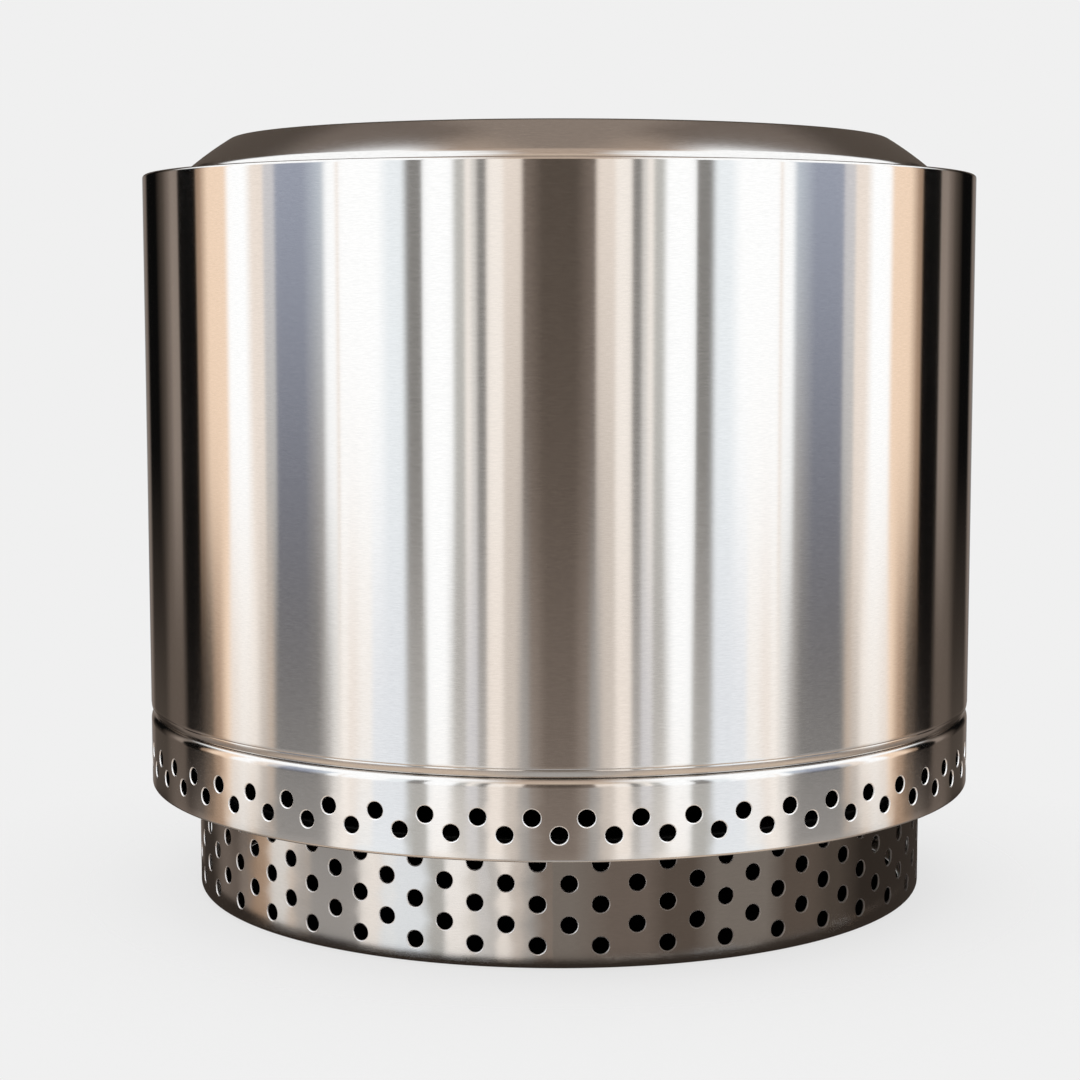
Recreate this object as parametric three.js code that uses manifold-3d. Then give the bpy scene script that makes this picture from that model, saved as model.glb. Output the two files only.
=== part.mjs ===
// Smokeless fire pit on its stand: a double-walled steel pit with a flame ring, a grate and an ash pan.
// Millimetres, +Z up. The origin is the middle of the stand's foot, and the front faces -Y.
import * as THREE from 'three';
import { mergeVertices } from 'three/addons/utils/BufferGeometryUtils.js';
import Module from 'manifold-3d';

const wasm = await Module();
wasm.setup();

// Sheet thicknesses, fits and cutters
const shellSheet = 1.2;
const linerSheet = 1;
const grateSheet = 2;
const bracketSheet = 2;
const seatGap = 0.3;
const cutOverrun = 4;

// Stand
const standInset = 28.1;
const standHoleRadius = 4.6;
const standRowPitch = 11.15;
const standFirstRow = 12.7;
const standTopMargin = 12.7;
const standRows = 5;
const standHolesPerRow = 41;
const standSeamAngle = 8.3;
const standSeamExtraAngle = 0.75;
const standFootCorner = 3;
const standFootWidth = 11;
const standRingWidth = 14;
const standRingHoleMargin = 0.6;

// Pit shell
const pitRadius = 247.5;
const pitHeight = 360;
const pitNesting = 5.8;
const rimCorner = 1.8;
const ledgeClearance = 1.3;

// Groove between the upper wall and the vent band
const seamHeight = 44;
const tuckDepth = 2.6;
const tuckHeight = 6.5;
const shoulderHeight = 4.8;
const neckHeight = 6;

// Vent band
const bandCorner = 1.2;
const bandFlangeWidth = 9.5;
const bandHoleRadius = 4.6;
const bandLowerRow = 14.4;
const bandRowPitch = 9;
const bandHolesPerRow = 55;

// Base: bottom pan, heat shield, spacers and rivets
const recessClearance = 1.6;
const shieldInset = 8;
const shieldLip = 4;
const standoffHeight = 7.5;
const standoffRadius = 5;
const standoffInset = 25;
const rivetRadius = 2.5;
const rivetHeadRadius = 5.5;
const rivetHeadHeight = 1.8;

// Fire chamber
const wallGap = 23;
const plenumHeight = 19.4;
const chamberFlangeWidth = 17;
const airHoleRadius = 4;
const airHoleDrop = 24;
const airHoleCount = 40;
const funnelRise = 12;
const floorLegHeight = 10;
const chamberSkirt = 2;
const seatWidth = 30;
const bracketWidth = 24;
const bracketReach = 13;
const bracketShieldClearance = 4;

// Flame ring, and the four stops inside the chamber that its skirt stands on
const ringHeight = 22.2;
const ringSlopeAngle = 35.6;
const ringKneeRadius = 7.1;
const ringFootRadius = 7;
const ringLipRadius = 5;
const ringLipDrop = 6;
const ringSkirtClearance = 0.3;
const ringSkirtDepth = 12;
const stopSheet = 1.5;
const stopWidth = 20;
const stopReach = 8;
const stopLeg = 9;

// Ash pan
const panHeight = 34;
const panTaper = 3;
const panRimWidth = 4;
const panOpeningRadius = 45;
const hubHeight = 26;
const hubFlangeWidth = 10;
const hubHoleRadius = 4.5;
const hubHoleCount = 8;

// Grate
const liftClearance = 7.2;
const grateLip = 3.5;
const grateLipClearance = 1.2;
const grateHoleRadius = 6;
const grateFingerRadius = 14;
const grateEdgeMargin = 24;
const grateHoleRings = 3;
const grateHolesPerRingStep = 6;

// Facets round each turned piece
const wallFacets = 60;
const liningFacets = 40;
const rivetFacets = 8;
const holeSides = 6;
const mountsAround = 4;

// Sizes that follow from the ones above
const standHeight = standFirstRow + (standRows - 1) * standRowPitch + standTopMargin;
const standRadius = pitRadius - standInset;
const pitBase = standHeight - pitNesting;
const bottomOuterLevel = shellSheet + seatGap;
const bottomInnerLevel = pitNesting + seatGap;
const bottomTopLevel = bottomInnerLevel + shellSheet;
const chamberRadius = pitRadius - shellSheet - wallGap - linerSheet;
const ledgeInner = chamberRadius + linerSheet + ledgeClearance;
const ringSkirt = flatRadius(chamberRadius, airHoleCount) - ringSkirtClearance;
const ringSlope = THREE.MathUtils.degToRad(ringSlopeAngle);
const footCentre = ringSkirt - ringFootRadius;
const kneeLevel = ringHeight - ringKneeRadius;
const kneeCentre = footCentre
  + (ringFootRadius - ringKneeRadius - kneeLevel * Math.cos(ringSlope)) / Math.sin(ringSlope);
const ringOpening = kneeCentre - ringLipRadius;
const grateRadius = ringOpening - liftClearance;
const panRadius = grateRadius - shellSheet - grateLipClearance;
const panFloorRadius = panRadius - panRimWidth - panTaper;
const seatInner = panFloorRadius - seatWidth;
const seatOuter = panRadius;
const seatLevel = bottomTopLevel + plenumHeight;
const panLevel = seatLevel + shellSheet + seatGap;
const grateLevel = panLevel + panHeight + shellSheet + seatGap;
const shieldRadius = seatInner - shieldInset;
const shieldLevel = bottomTopLevel + standoffHeight + seatGap + seatGap;
const standoffPlace = shieldRadius - standoffInset;

// Steel finishes, each mesh gets its own copy
const brushedSteel = { color: 0xb5afa8, roughness: 0.34, metalness: 1 };
const standSteel = { color: 0x9a938c, roughness: 0.38, metalness: 1 };
const linerSteel = { color: 0x8d8984, roughness: 0.5, metalness: 1 };
const fastenerSteel = { color: 0xa8a6a2, roughness: 0.4, metalness: 1 };

const point = (radius, height) => new THREE.Vector2(radius, height);

// Points on an elliptical arc from one angle to another, in degrees, both ends included
function arc(centreRadius, centreHeight, reachOut, reachUp, from, to, steps) {
  return Array.from({ length: steps + 1 }, (_, step) => {
    const angle = THREE.MathUtils.degToRad(from + (to - from) * step / steps);
    return point(centreRadius + reachOut * Math.cos(angle), centreHeight + reachUp * Math.sin(angle));
  });
}

// A profile turned round +Z. A ring's profile closes on itself, a disc's starts and ends on the axis.
// The first facet edge lies at startAngle degrees from the front, towards +X.
function turned(profile, facets, startAngle = 0) {
  const outline = THREE.ShapeUtils.isClockWise(profile) ? profile.slice().reverse() : profile.slice();
  const first = outline[0];
  if (first.x > 0) outline.push(first.clone());
  const start = THREE.MathUtils.degToRad(startAngle);
  const geometry = new THREE.LatheGeometry(outline, facets, start);
  return closed(geometry.rotateX(Math.PI / 2));
}

// The same surface with shared corners and without the collapsed triangles on the axis
function closed(geometry) {
  geometry.deleteAttribute('normal');
  geometry.deleteAttribute('uv');
  const merged = mergeVertices(geometry);
  const corners = merged.index.array;
  const kept = [];
  for (let at = 0; at < corners.length; at += 3) {
    const [a, b, c] = corners.slice(at, at + 3);
    if (a !== b && b !== c && c !== a) kept.push(a, b, c);
  }
  merged.setIndex(kept);
  return merged;
}

function toSolid(geometry) {
  const vertProperties = new Float32Array(geometry.attributes.position.array);
  const triVerts = new Uint32Array(geometry.index.array);
  return new wasm.Manifold(new wasm.Mesh({ numProp: 3, vertProperties, triVerts }));
}

function fromSolid(solid) {
  const { vertProperties, triVerts } = solid.getMesh();
  const geometry = new THREE.BufferGeometry();
  geometry.setAttribute('position', new THREE.BufferAttribute(vertProperties, 3));
  geometry.setIndex(new THREE.BufferAttribute(triVerts, 1));
  return geometry;
}

function cut(geometry, cutters) {
  return fromSolid(wasm.Manifold.difference([toSolid(geometry), ...cutters.map(toSolid)]));
}

// Distance from the axis to the middle of a facet, where a turned piece leaves least room inside
function flatRadius(radius, facets) {
  return radius * Math.cos(Math.PI / facets);
}

// Corner radius of a polygon that has the area of a round hole
function polygonRadius(holeRadius, sides) {
  return holeRadius * Math.sqrt(2 * Math.PI / (sides * Math.sin(2 * Math.PI / sides)));
}

// A prism that cuts a hole in a wall that stands round the axis
function wallHole(holeRadius, wallRadius, sheet, angle, height) {
  const radius = polygonRadius(holeRadius, holeSides);
  const prism = new THREE.CylinderGeometry(radius, radius, sheet + 2 * cutOverrun, holeSides);
  prism.translate(0, sheet / 2 - wallRadius, height);
  return closed(prism.rotateZ(THREE.MathUtils.degToRad(angle)));
}

// A prism that cuts a hole down through a flat plate
function plateHole(holeRadius, place, angle, height, sheet, sides) {
  const radius = polygonRadius(holeRadius, sides);
  const prism = new THREE.CylinderGeometry(radius, radius, sheet + 2 * cutOverrun, sides);
  prism.rotateX(Math.PI / 2);
  prism.translate(0, -place, height + sheet / 2);
  return closed(prism.rotateZ(THREE.MathUtils.degToRad(angle)));
}

function addPiece(group, name, geometry, finish) {
  const mesh = new THREE.Mesh(geometry, new THREE.MeshStandardMaterial(finish));
  mesh.name = name;
  mesh.geometry.computeVertexNormals();
  group.add(mesh);
  return mesh;
}

// Equal turns about the axis, starting half a turn step from the front
function anglesAround(count) {
  return Array.from({ length: count }, (_, index) => (index + 0.5) * 360 / count);
}

// The strip's hole columns run evenly round from one side of the weld seam to the other
function standColumnAngles() {
  const columns = 2 * standHolesPerRow;
  const step = (360 - standSeamExtraAngle) / columns;
  return Array.from({ length: columns }, (_, column) => {
    return standSeamAngle + (standSeamExtraAngle + step) / 2 + column * step;
  });
}

function buildStand() {
  const stand = new THREE.Group();
  const inner = standRadius - shellSheet;
  const footInner = standRadius - standFootWidth;
  const cornerCentre = standRadius - standFootCorner;
  const innerCorner = Math.max(standFootCorner - shellSheet, 0);
  const wallProfile = [
    point(footInner, 0),
    ...arc(cornerCentre, standFootCorner, standFootCorner, standFootCorner, -90, 0, 2),
    point(standRadius, standHeight),
    point(inner, standHeight),
    point(inner, shellSheet + innerCorner),
    point(cornerCentre, shellSheet),
    point(footInner, shellSheet),
  ];
  const columns = standColumnAngles();
  const wall = turned(wallProfile, columns.length, standSeamAngle);
  const holes = [];
  for (let row = 0; row < standRows; row += 1) {
    const height = standFirstRow + row * standRowPitch;
    columns.forEach((angle, column) => {
      if ((column + row) % 2 === 1) {
        holes.push(wallHole(standHoleRadius, standRadius, shellSheet, angle, height));
      }
    });
  }
  addPiece(stand, 'stand_wall', cut(wall, holes), standSteel);

  const ringRadius = flatRadius(inner, columns.length) - seatGap;
  const legBottom = standHeight - standTopMargin + polygonRadius(standHoleRadius, holeSides)
    + standRingHoleMargin;
  const ringProfile = [
    point(ringRadius, legBottom),
    point(ringRadius, standHeight),
    point(ringRadius - standRingWidth, standHeight),
    point(ringRadius - standRingWidth, standHeight - shellSheet),
    point(ringRadius - shellSheet, standHeight - shellSheet),
    point(ringRadius - shellSheet, legBottom),
  ];
  addPiece(stand, 'stand_top_ring', turned(ringProfile, liningFacets), standSteel);
  return stand;
}

function outerWall() {
  const tuckEnd = pitRadius - tuckDepth;
  const tuckTop = seamHeight + tuckHeight;
  const innerReach = Math.max(tuckDepth - shellSheet, 0);
  const profile = [
    ...arc(tuckEnd, tuckTop, tuckDepth, tuckHeight, -90, 0, 3),
    point(pitRadius, pitHeight - rimCorner),
    point(pitRadius - rimCorner, pitHeight),
    point(ledgeInner, pitHeight),
    point(ledgeInner, pitHeight - shellSheet),
    point(pitRadius - shellSheet, pitHeight - shellSheet),
    ...arc(tuckEnd, tuckTop, innerReach, tuckHeight - shellSheet, 0, -90, 1),
  ];
  return turned(profile, wallFacets);
}

function ventBand() {
  const neck = flatRadius(pitRadius - tuckDepth, wallFacets) - seatGap;
  const shoulderBase = seamHeight - seatGap - shoulderHeight;
  const neckTop = seamHeight + neckHeight;
  const flangeInner = pitRadius - bandFlangeWidth;
  const reach = pitRadius - neck;
  const profile = [
    point(flangeInner, 0),
    point(pitRadius - bandCorner, 0),
    point(pitRadius, bandCorner),
    ...arc(neck, shoulderBase, reach, shoulderHeight, 0, 90, 3),
    point(neck, neckTop),
    point(neck - shellSheet, neckTop),
    ...arc(neck - shellSheet, shoulderBase, reach, shoulderHeight - shellSheet, 90, 0, 1),
    point(pitRadius - shellSheet, shellSheet),
    point(flangeInner, shellSheet),
  ];
  const step = 360 / bandHolesPerRow;
  const band = turned(profile, bandHolesPerRow, -step / 4);
  const upperRow = bandLowerRow + bandRowPitch;
  const holes = [];
  for (let index = 0; index < bandHolesPerRow; index += 1) {
    const angle = index * step;
    holes.push(wallHole(bandHoleRadius, pitRadius, shellSheet, angle, bandLowerRow));
    holes.push(wallHole(bandHoleRadius, pitRadius, shellSheet, angle + step / 2, upperRow));
  }
  return cut(band, holes);
}

function bottomPan() {
  const recess = standRadius + recessClearance;
  const edge = flatRadius(pitRadius - shellSheet, bandHolesPerRow) - seatGap;
  const profile = [
    point(0, bottomInnerLevel),
    point(recess, bottomInnerLevel),
    point(recess, bottomOuterLevel),
    point(edge, bottomOuterLevel),
    point(edge, bottomOuterLevel + shellSheet),
    point(recess + shellSheet, bottomOuterLevel + shellSheet),
    point(recess + shellSheet, bottomTopLevel),
    point(0, bottomTopLevel),
  ];
  return cut(turned(profile, liningFacets), rivetHoles(bottomInnerLevel));
}

function rivetHoles(level) {
  return anglesAround(mountsAround).map((angle) => {
    return plateHole(rivetRadius + seatGap, standoffPlace, angle, level, shellSheet, rivetFacets);
  });
}

function heatShield() {
  const profile = [
    point(0, shieldLevel),
    point(shieldRadius - shellSheet, shieldLevel),
    point(shieldRadius - shellSheet, shieldLevel - shieldLip),
    point(shieldRadius, shieldLevel - shieldLip),
    point(shieldRadius, shieldLevel + shellSheet),
    point(0, shieldLevel + shellSheet),
  ];
  return cut(turned(profile, liningFacets), rivetHoles(shieldLevel));
}

function standoff() {
  const bore = rivetRadius + seatGap;
  const profile = [
    point(bore, 0),
    point(standoffRadius, 0),
    point(standoffRadius, standoffHeight),
    point(bore, standoffHeight),
  ];
  return turned(profile, rivetFacets);
}

function rivet() {
  const shankTop = shieldLevel + shellSheet + seatGap;
  const headTop = shankTop + rivetHeadHeight;
  const headFloor = pitNesting - rivetHeadHeight;
  const profile = [
    point(0, headFloor),
    point(rivetHeadRadius, pitNesting),
    point(rivetRadius, pitNesting),
    point(rivetRadius, shankTop),
    point(rivetHeadRadius, shankTop),
    point(0, headTop),
  ];
  return turned(profile, rivetFacets);
}

function chamberWall() {
  const outer = chamberRadius + linerSheet;
  const flangeTop = pitHeight - shellSheet - seatGap;
  const foot = seatLevel + funnelRise - chamberSkirt;
  const profile = [
    point(chamberRadius, foot),
    point(outer, foot),
    point(outer, flangeTop - linerSheet),
    point(outer + chamberFlangeWidth, flangeTop - linerSheet),
    point(outer + chamberFlangeWidth, flangeTop),
    point(chamberRadius, flangeTop),
  ];
  const wall = turned(profile, airHoleCount);
  const holes = anglesAround(airHoleCount).map((angle) => {
    return wallHole(airHoleRadius, outer, linerSheet, angle, pitHeight - airHoleDrop);
  });
  return cut(wall, holes);
}

function chamberFloor() {
  const outer = chamberRadius - seatGap;
  const legBase = seatLevel + funnelRise;
  const profile = [
    point(seatInner, seatLevel),
    point(seatOuter, seatLevel),
    point(outer, legBase),
    point(outer, legBase + floorLegHeight),
    point(outer - shellSheet, legBase + floorLegHeight),
    point(outer - shellSheet, legBase + shellSheet),
    point(seatOuter, seatLevel + shellSheet),
    point(seatInner, seatLevel + shellSheet),
  ];
  return turned(profile, airHoleCount);
}

// A Z bracket whose lower foot points outwards and whose upper foot points inwards under the seat
function chamberBracket() {
  const height = plenumHeight - 2 * seatGap;
  const web = -bracketSheet / 2;
  const outline = new THREE.Shape([
    point(web, 0),
    point(web + bracketReach, 0),
    point(web + bracketReach, bracketSheet),
    point(web + bracketSheet, bracketSheet),
    point(web + bracketSheet, height),
    point(web + bracketSheet - bracketReach, height),
    point(web + bracketSheet - bracketReach, height - bracketSheet),
    point(web, height - bracketSheet),
  ]);
  const geometry = new THREE.ExtrudeGeometry(outline, { depth: bracketWidth, bevelEnabled: false });
  geometry.translate(0, 0, -bracketWidth / 2);
  return closed(geometry.rotateX(Math.PI / 2).rotateZ(-Math.PI / 2));
}

// A small angle on the chamber wall, seen from its end with the wall on the right: shelf above, leg below
function ringStop() {
  const outline = new THREE.Shape([
    point(0, -stopLeg),
    point(0, 0),
    point(-stopReach, 0),
    point(-stopReach, -stopSheet),
    point(-stopSheet, -stopSheet),
    point(-stopSheet, -stopLeg),
  ]);
  const geometry = new THREE.ExtrudeGeometry(outline, { depth: stopWidth, bevelEnabled: false });
  geometry.translate(0, 0, -stopWidth / 2);
  return closed(geometry.rotateX(Math.PI / 2).rotateZ(-Math.PI / 2));
}

// One copy of a piece at each of the given angles round the axis
function addAround(group, name, geometry, finish, angles, radius, height) {
  angles.forEach((angle, index) => {
    const spoke = new THREE.Group();
    spoke.rotation.z = THREE.MathUtils.degToRad(angle);
    const mesh = addPiece(spoke, `${name}_${index + 1}`, geometry.clone(), finish);
    mesh.position.set(0, -radius, height);
    group.add(spoke);
  });
}

function buildPit() {
  const pit = new THREE.Group();
  pit.position.z = pitBase;
  addPiece(pit, 'outer_wall', outerWall(), brushedSteel);
  addPiece(pit, 'vent_band', ventBand(), brushedSteel);
  addPiece(pit, 'bottom_pan', bottomPan(), standSteel);
  addPiece(pit, 'heat_shield', heatShield(), linerSteel);
  addPiece(pit, 'chamber_wall', chamberWall(), linerSteel);
  addPiece(pit, 'chamber_floor', chamberFloor(), linerSteel);
  const diagonals = anglesAround(mountsAround);
  const baseLevel = bottomTopLevel + seatGap;
  addAround(pit, 'shield_standoff', standoff(), fastenerSteel, diagonals, standoffPlace, baseLevel);
  addAround(pit, 'shield_rivet', rivet(), fastenerSteel, diagonals, standoffPlace, 0);
  const bracketPlace = shieldRadius + bracketShieldClearance + bracketReach;
  addAround(pit, 'chamber_bracket', chamberBracket(), linerSteel, diagonals, bracketPlace, baseLevel);
  const stopAngles = diagonals.map((angle) => angle - diagonals[0]);
  const stopPlace = chamberRadius - stopWidth / 2 * Math.tan(Math.PI / airHoleCount) - seatGap;
  const stopLevel = pitHeight - ringSkirtDepth - seatGap;
  addAround(pit, 'ring_stop', ringStop(), linerSteel, stopAngles, stopPlace, stopLevel);
  return pit;
}

// One pressed sheet: a rolled inner lip, the slope, a rounded foot and a skirt that hangs in the chamber
function flameRing() {
  const slopeEnd = 90 - ringSlopeAngle;
  const innerFoot = ringFootRadius - shellSheet;
  const innerKnee = ringKneeRadius - shellSheet;
  const innerLip = ringLipRadius - shellSheet;
  const lipLevel = ringHeight - ringLipRadius;
  const profile = [
    point(ringSkirt, -ringSkirtDepth),
    ...arc(footCentre, 0, ringFootRadius, ringFootRadius, 0, slopeEnd, 2),
    ...arc(kneeCentre, kneeLevel, ringKneeRadius, ringKneeRadius, slopeEnd, 90, 2),
    ...arc(kneeCentre, lipLevel, ringLipRadius, ringLipRadius, 90, 180, 2).slice(1),
    point(ringOpening, lipLevel - ringLipDrop),
    point(ringOpening + shellSheet, lipLevel - ringLipDrop),
    ...arc(kneeCentre, lipLevel, innerLip, innerLip, 180, 90, 1),
    ...arc(kneeCentre, kneeLevel, innerKnee, innerKnee, 90, slopeEnd, 1).slice(1),
    ...arc(footCentre, 0, innerFoot, innerFoot, slopeEnd, 0, 1),
    point(ringSkirt - shellSheet, -ringSkirtDepth),
  ];
  return turned(profile, wallFacets);
}

function buildFlameRing() {
  const ring = new THREE.Group();
  ring.position.z = pitBase + pitHeight;
  addPiece(ring, 'flame_ring', flameRing(), brushedSteel);
  return ring;
}

function ashPan() {
  const wallTop = panRadius - panRimWidth;
  const profile = [
    point(panOpeningRadius, 0),
    point(panFloorRadius, 0),
    point(wallTop, panHeight),
    point(panRadius, panHeight),
    point(panRadius, panHeight + shellSheet),
    point(wallTop - shellSheet, panHeight + shellSheet),
    point(panFloorRadius - shellSheet, shellSheet),
    point(panOpeningRadius, shellSheet),
  ];
  return turned(profile, liningFacets);
}

function ashPanHub() {
  const flange = panOpeningRadius + hubFlangeWidth;
  const profile = [
    point(0, hubHeight - shellSheet),
    point(panOpeningRadius - shellSheet, hubHeight - shellSheet),
    point(panOpeningRadius - shellSheet, 0),
    point(flange, 0),
    point(flange, shellSheet),
    point(panOpeningRadius, shellSheet),
    point(panOpeningRadius, hubHeight),
    point(0, hubHeight),
  ];
  const hub = turned(profile, 2 * hubHoleCount, 90 / hubHoleCount);
  const holes = Array.from({ length: hubHoleCount }, (_, index) => {
    return wallHole(hubHoleRadius, panOpeningRadius, shellSheet, index * 360 / hubHoleCount, hubHeight / 2);
  });
  return cut(hub, holes);
}

function buildAshPan() {
  const pan = new THREE.Group();
  pan.position.z = pitBase + panLevel;
  addPiece(pan, 'ash_pan', ashPan(), linerSteel);
  const hub = addPiece(pan, 'ash_pan_hub', ashPanHub(), linerSteel);
  hub.position.z = shellSheet + seatGap;
  return pan;
}

function buildGrate() {
  const grate = new THREE.Group();
  grate.position.z = pitBase + grateLevel;
  const profile = [
    point(0, 0),
    point(grateRadius - shellSheet, 0),
    point(grateRadius - shellSheet, -grateLip),
    point(grateRadius, -grateLip),
    point(grateRadius, grateSheet),
    point(0, grateSheet),
  ];
  const holes = [plateHole(grateFingerRadius, 0, 0, 0, grateSheet, 2 * holeSides)];
  const ringPitch = (grateRadius - grateEdgeMargin) / grateHoleRings;
  for (let ring = 1; ring <= grateHoleRings; ring += 1) {
    const count = ring * grateHolesPerRingStep;
    anglesAround(count).forEach((angle) => {
      holes.push(plateHole(grateHoleRadius, ring * ringPitch, angle, 0, grateSheet, holeSides));
    });
  }
  addPiece(grate, 'grate', cut(turned(profile, liningFacets), holes), linerSteel);
  return grate;
}

const firePit = new THREE.Group();
firePit.add(buildStand(), buildPit(), buildFlameRing(), buildAshPan(), buildGrate());

export default firePit;
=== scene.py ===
# Smokeless fire pit on its perforated stand, in brushed stainless steel, on a pale studio floor.
# Metres, +Z up. The pit's axis is the Z axis, and the front faces -Y.
import math
import bmesh
import bpy
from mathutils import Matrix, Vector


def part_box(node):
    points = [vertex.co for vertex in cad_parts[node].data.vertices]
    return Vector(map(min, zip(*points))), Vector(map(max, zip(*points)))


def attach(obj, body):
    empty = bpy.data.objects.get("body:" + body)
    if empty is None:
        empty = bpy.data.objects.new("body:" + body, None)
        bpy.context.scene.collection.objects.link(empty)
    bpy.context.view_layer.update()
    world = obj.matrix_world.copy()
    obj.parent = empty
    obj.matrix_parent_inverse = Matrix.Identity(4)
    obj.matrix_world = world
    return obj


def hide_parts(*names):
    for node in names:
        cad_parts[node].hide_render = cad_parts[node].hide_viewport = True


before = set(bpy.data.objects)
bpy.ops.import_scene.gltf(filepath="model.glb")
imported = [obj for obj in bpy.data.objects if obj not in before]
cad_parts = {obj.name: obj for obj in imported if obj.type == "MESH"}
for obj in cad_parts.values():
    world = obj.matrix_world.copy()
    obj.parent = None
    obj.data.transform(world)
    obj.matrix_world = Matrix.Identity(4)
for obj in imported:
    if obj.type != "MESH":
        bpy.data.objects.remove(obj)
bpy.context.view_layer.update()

MM = 0.001


def reach(node):
    """Farthest distance of a part's corners from the axis."""
    return max(math.hypot(v.co.x, v.co.y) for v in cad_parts[node].data.vertices)


def bore(node):
    """Nearest distance of a part's corners to the axis."""
    return min(math.hypot(v.co.x, v.co.y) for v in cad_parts[node].data.vertices)


def foot(node):
    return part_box(node)[0].z


def top(node):
    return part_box(node)[1].z


# Sheets and fits
SHELL_SHEET = 1.2 * MM
LINER_SHEET = 1.0 * MM
PLATE = 2.0 * MM
SEAT_GAP = 0.3 * MM
CUT_EDGE = 0.3 * MM
PUNCHED_EDGE = 0.55 * MM

# Smoothness of the turned pieces and their bends
ROUND_STEPS = 240
GRATE_STEPS = 192
SMALL_STEPS = 24
HOLE_SIDE_CUTS = 6
TIGHT_BEND_STEPS = 4
BEND_STEPS = 5
WIDE_BEND_STEPS = 6
LONG_BEND_STEPS = 10
EDGE_STEPS = 2
WELD = 0.02 * MM
SMOOTH_ANGLE = math.radians(38)
BEVEL_ANGLE = math.radians(50)

# Stand
STAND_RADIUS = reach("stand_wall")
STAND_TOP = top("stand_wall")
STAND_HOLE_RADIUS = 4.6 * MM
STAND_FIRST_ROW = 12.7 * MM
STAND_ROW_PITCH = 11.15 * MM
STAND_COLUMN_PAIRS = 41
# The weld seam lies to the right of the front, and the holes stand a little wider there
STAND_SEAM_ANGLE = math.radians(8.3)
STAND_SEAM_EXTRA = math.radians(0.75)
STAND_CORNER = 3.0 * MM
STAND_CORNER_STEPS = 7
STAND_FOOT_WIDTH = 11.0 * MM
STAND_RING_BEND = 1.6 * MM

# Pit shell
PIT_RADIUS = reach("outer_wall")
RIM_TOP = top("outer_wall")
LEDGE_BORE = bore("outer_wall")
RIM_CORNER = 1.8 * MM
SEAM = foot("outer_wall")
TUCK_DEPTH = 2.6 * MM
TUCK_HEIGHT = 6.5 * MM
TUCK_STEPS = 40
CREASE_ABOVE_SEAM = 4.6 * MM
CREASE_WIDTH = 0.9 * MM
CREASE_DEPTH = 0.2 * MM

# Vent band
BAND_FOOT = foot("vent_band")
BAND_TOP = top("vent_band")
SHOULDER_HEIGHT = 4.8 * MM
SHOULDER_DEGREES = 75
BAND_CORNER = 1.7 * MM
NECK_BEND = 0.6 * MM
BAND_FLANGE_WIDTH = 9.5 * MM
BAND_HOLE_RADIUS = 4.6 * MM
BAND_LOWER_ROW = BAND_FOOT + 14.4 * MM
BAND_ROW_PITCH = 9.0 * MM
BAND_COLUMN_PAIRS = 55

# Flame ring
RING_TOP = top("flame_ring")
RING_FOOT = foot("flame_ring")
RING_SKIRT = reach("flame_ring")
RING_BORE = bore("flame_ring")
RING_SLOPE = math.radians(35.6)
RING_FOOT_RADIUS = 7.0 * MM
RING_KNEE_RADIUS = 7.1 * MM
RING_BULGE_DEGREES = 4
RING_LIP_RADIUS = 5.0 * MM
RING_LIP_DROP = 6.0 * MM

# Base: bottom pan, heat shield, spacers and rivets
PAN_EDGE = reach("bottom_pan")
PAN_OUTER_TOP = foot("bottom_pan") + SHELL_SHEET
PAN_TOP = top("bottom_pan")
PAN_RECESS = STAND_RADIUS + 1.6 * MM
PAN_BEND = 2.0 * MM
SHIELD_RADIUS = reach("heat_shield")
SHIELD_TOP = top("heat_shield")
SHIELD_FOOT = foot("heat_shield")
SHIELD_BEND = 1.8 * MM
DIAGONALS = [math.radians(angle) for angle in (45, 135, 225, 315)]
QUARTERS = [math.radians(angle) for angle in (0, 90, 180, 270)]
SPACER_PLACE = SHIELD_RADIUS - 25 * MM
SPACER_RADIUS = 5.0 * MM
SPACER_BORE = 2.8 * MM
RIVET_HEAD_RADIUS = 5.5 * MM
RIVET_HEAD_HEIGHT = 1.8 * MM
RIVET_HEAD_DEGREES = 80
RIVET_SHANK = 2.5 * MM

# Fire chamber
STOP_SHEET = 1.5 * MM
STOP_WIDTH = 20.0 * MM
STOP_BEND = 1.6 * MM
STOP_FACE = -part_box("ring_stop_1")[0].y
STOP_TIP = -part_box("ring_stop_1")[1].y
CHAMBER_FOOT = foot("chamber_wall")
CHAMBER_TOP = top("chamber_wall")
CHAMBER_FLANGE = reach("chamber_wall")
CHAMBER_RADIUS = bore("chamber_wall")
AIR_HOLE_RADIUS = 4.0 * MM
AIR_HOLE_ROW = RIM_TOP - 24.0 * MM
AIR_HOLE_COUNT = 40
AIR_HOLE_CELL = 36.0 * MM
FLOOR_LEG = 10.0 * MM
FLOOR_LEG_TOP = top("chamber_floor")
FLOOR_LEG_RADIUS = reach("chamber_floor") - SHELL_SHEET
FLOOR_LEG_FOOT = FLOOR_LEG_TOP - FLOOR_LEG + SHELL_SHEET
SEAT_TOP = foot("chamber_floor") + SHELL_SHEET
SEAT_OUTER = reach("ash_pan")
SEAT_BORE = bore("chamber_floor")
BRACKET_WIDTH = 24.0 * MM
BRACKET_REACH = 12.0 * MM
BRACKET_BEND = 2.2 * MM
BRACKET_PLACE = SHIELD_RADIUS + 17.0 * MM
BRACKET_FOOT = foot("chamber_bracket_1")
BRACKET_TOP = top("chamber_bracket_1")

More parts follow.
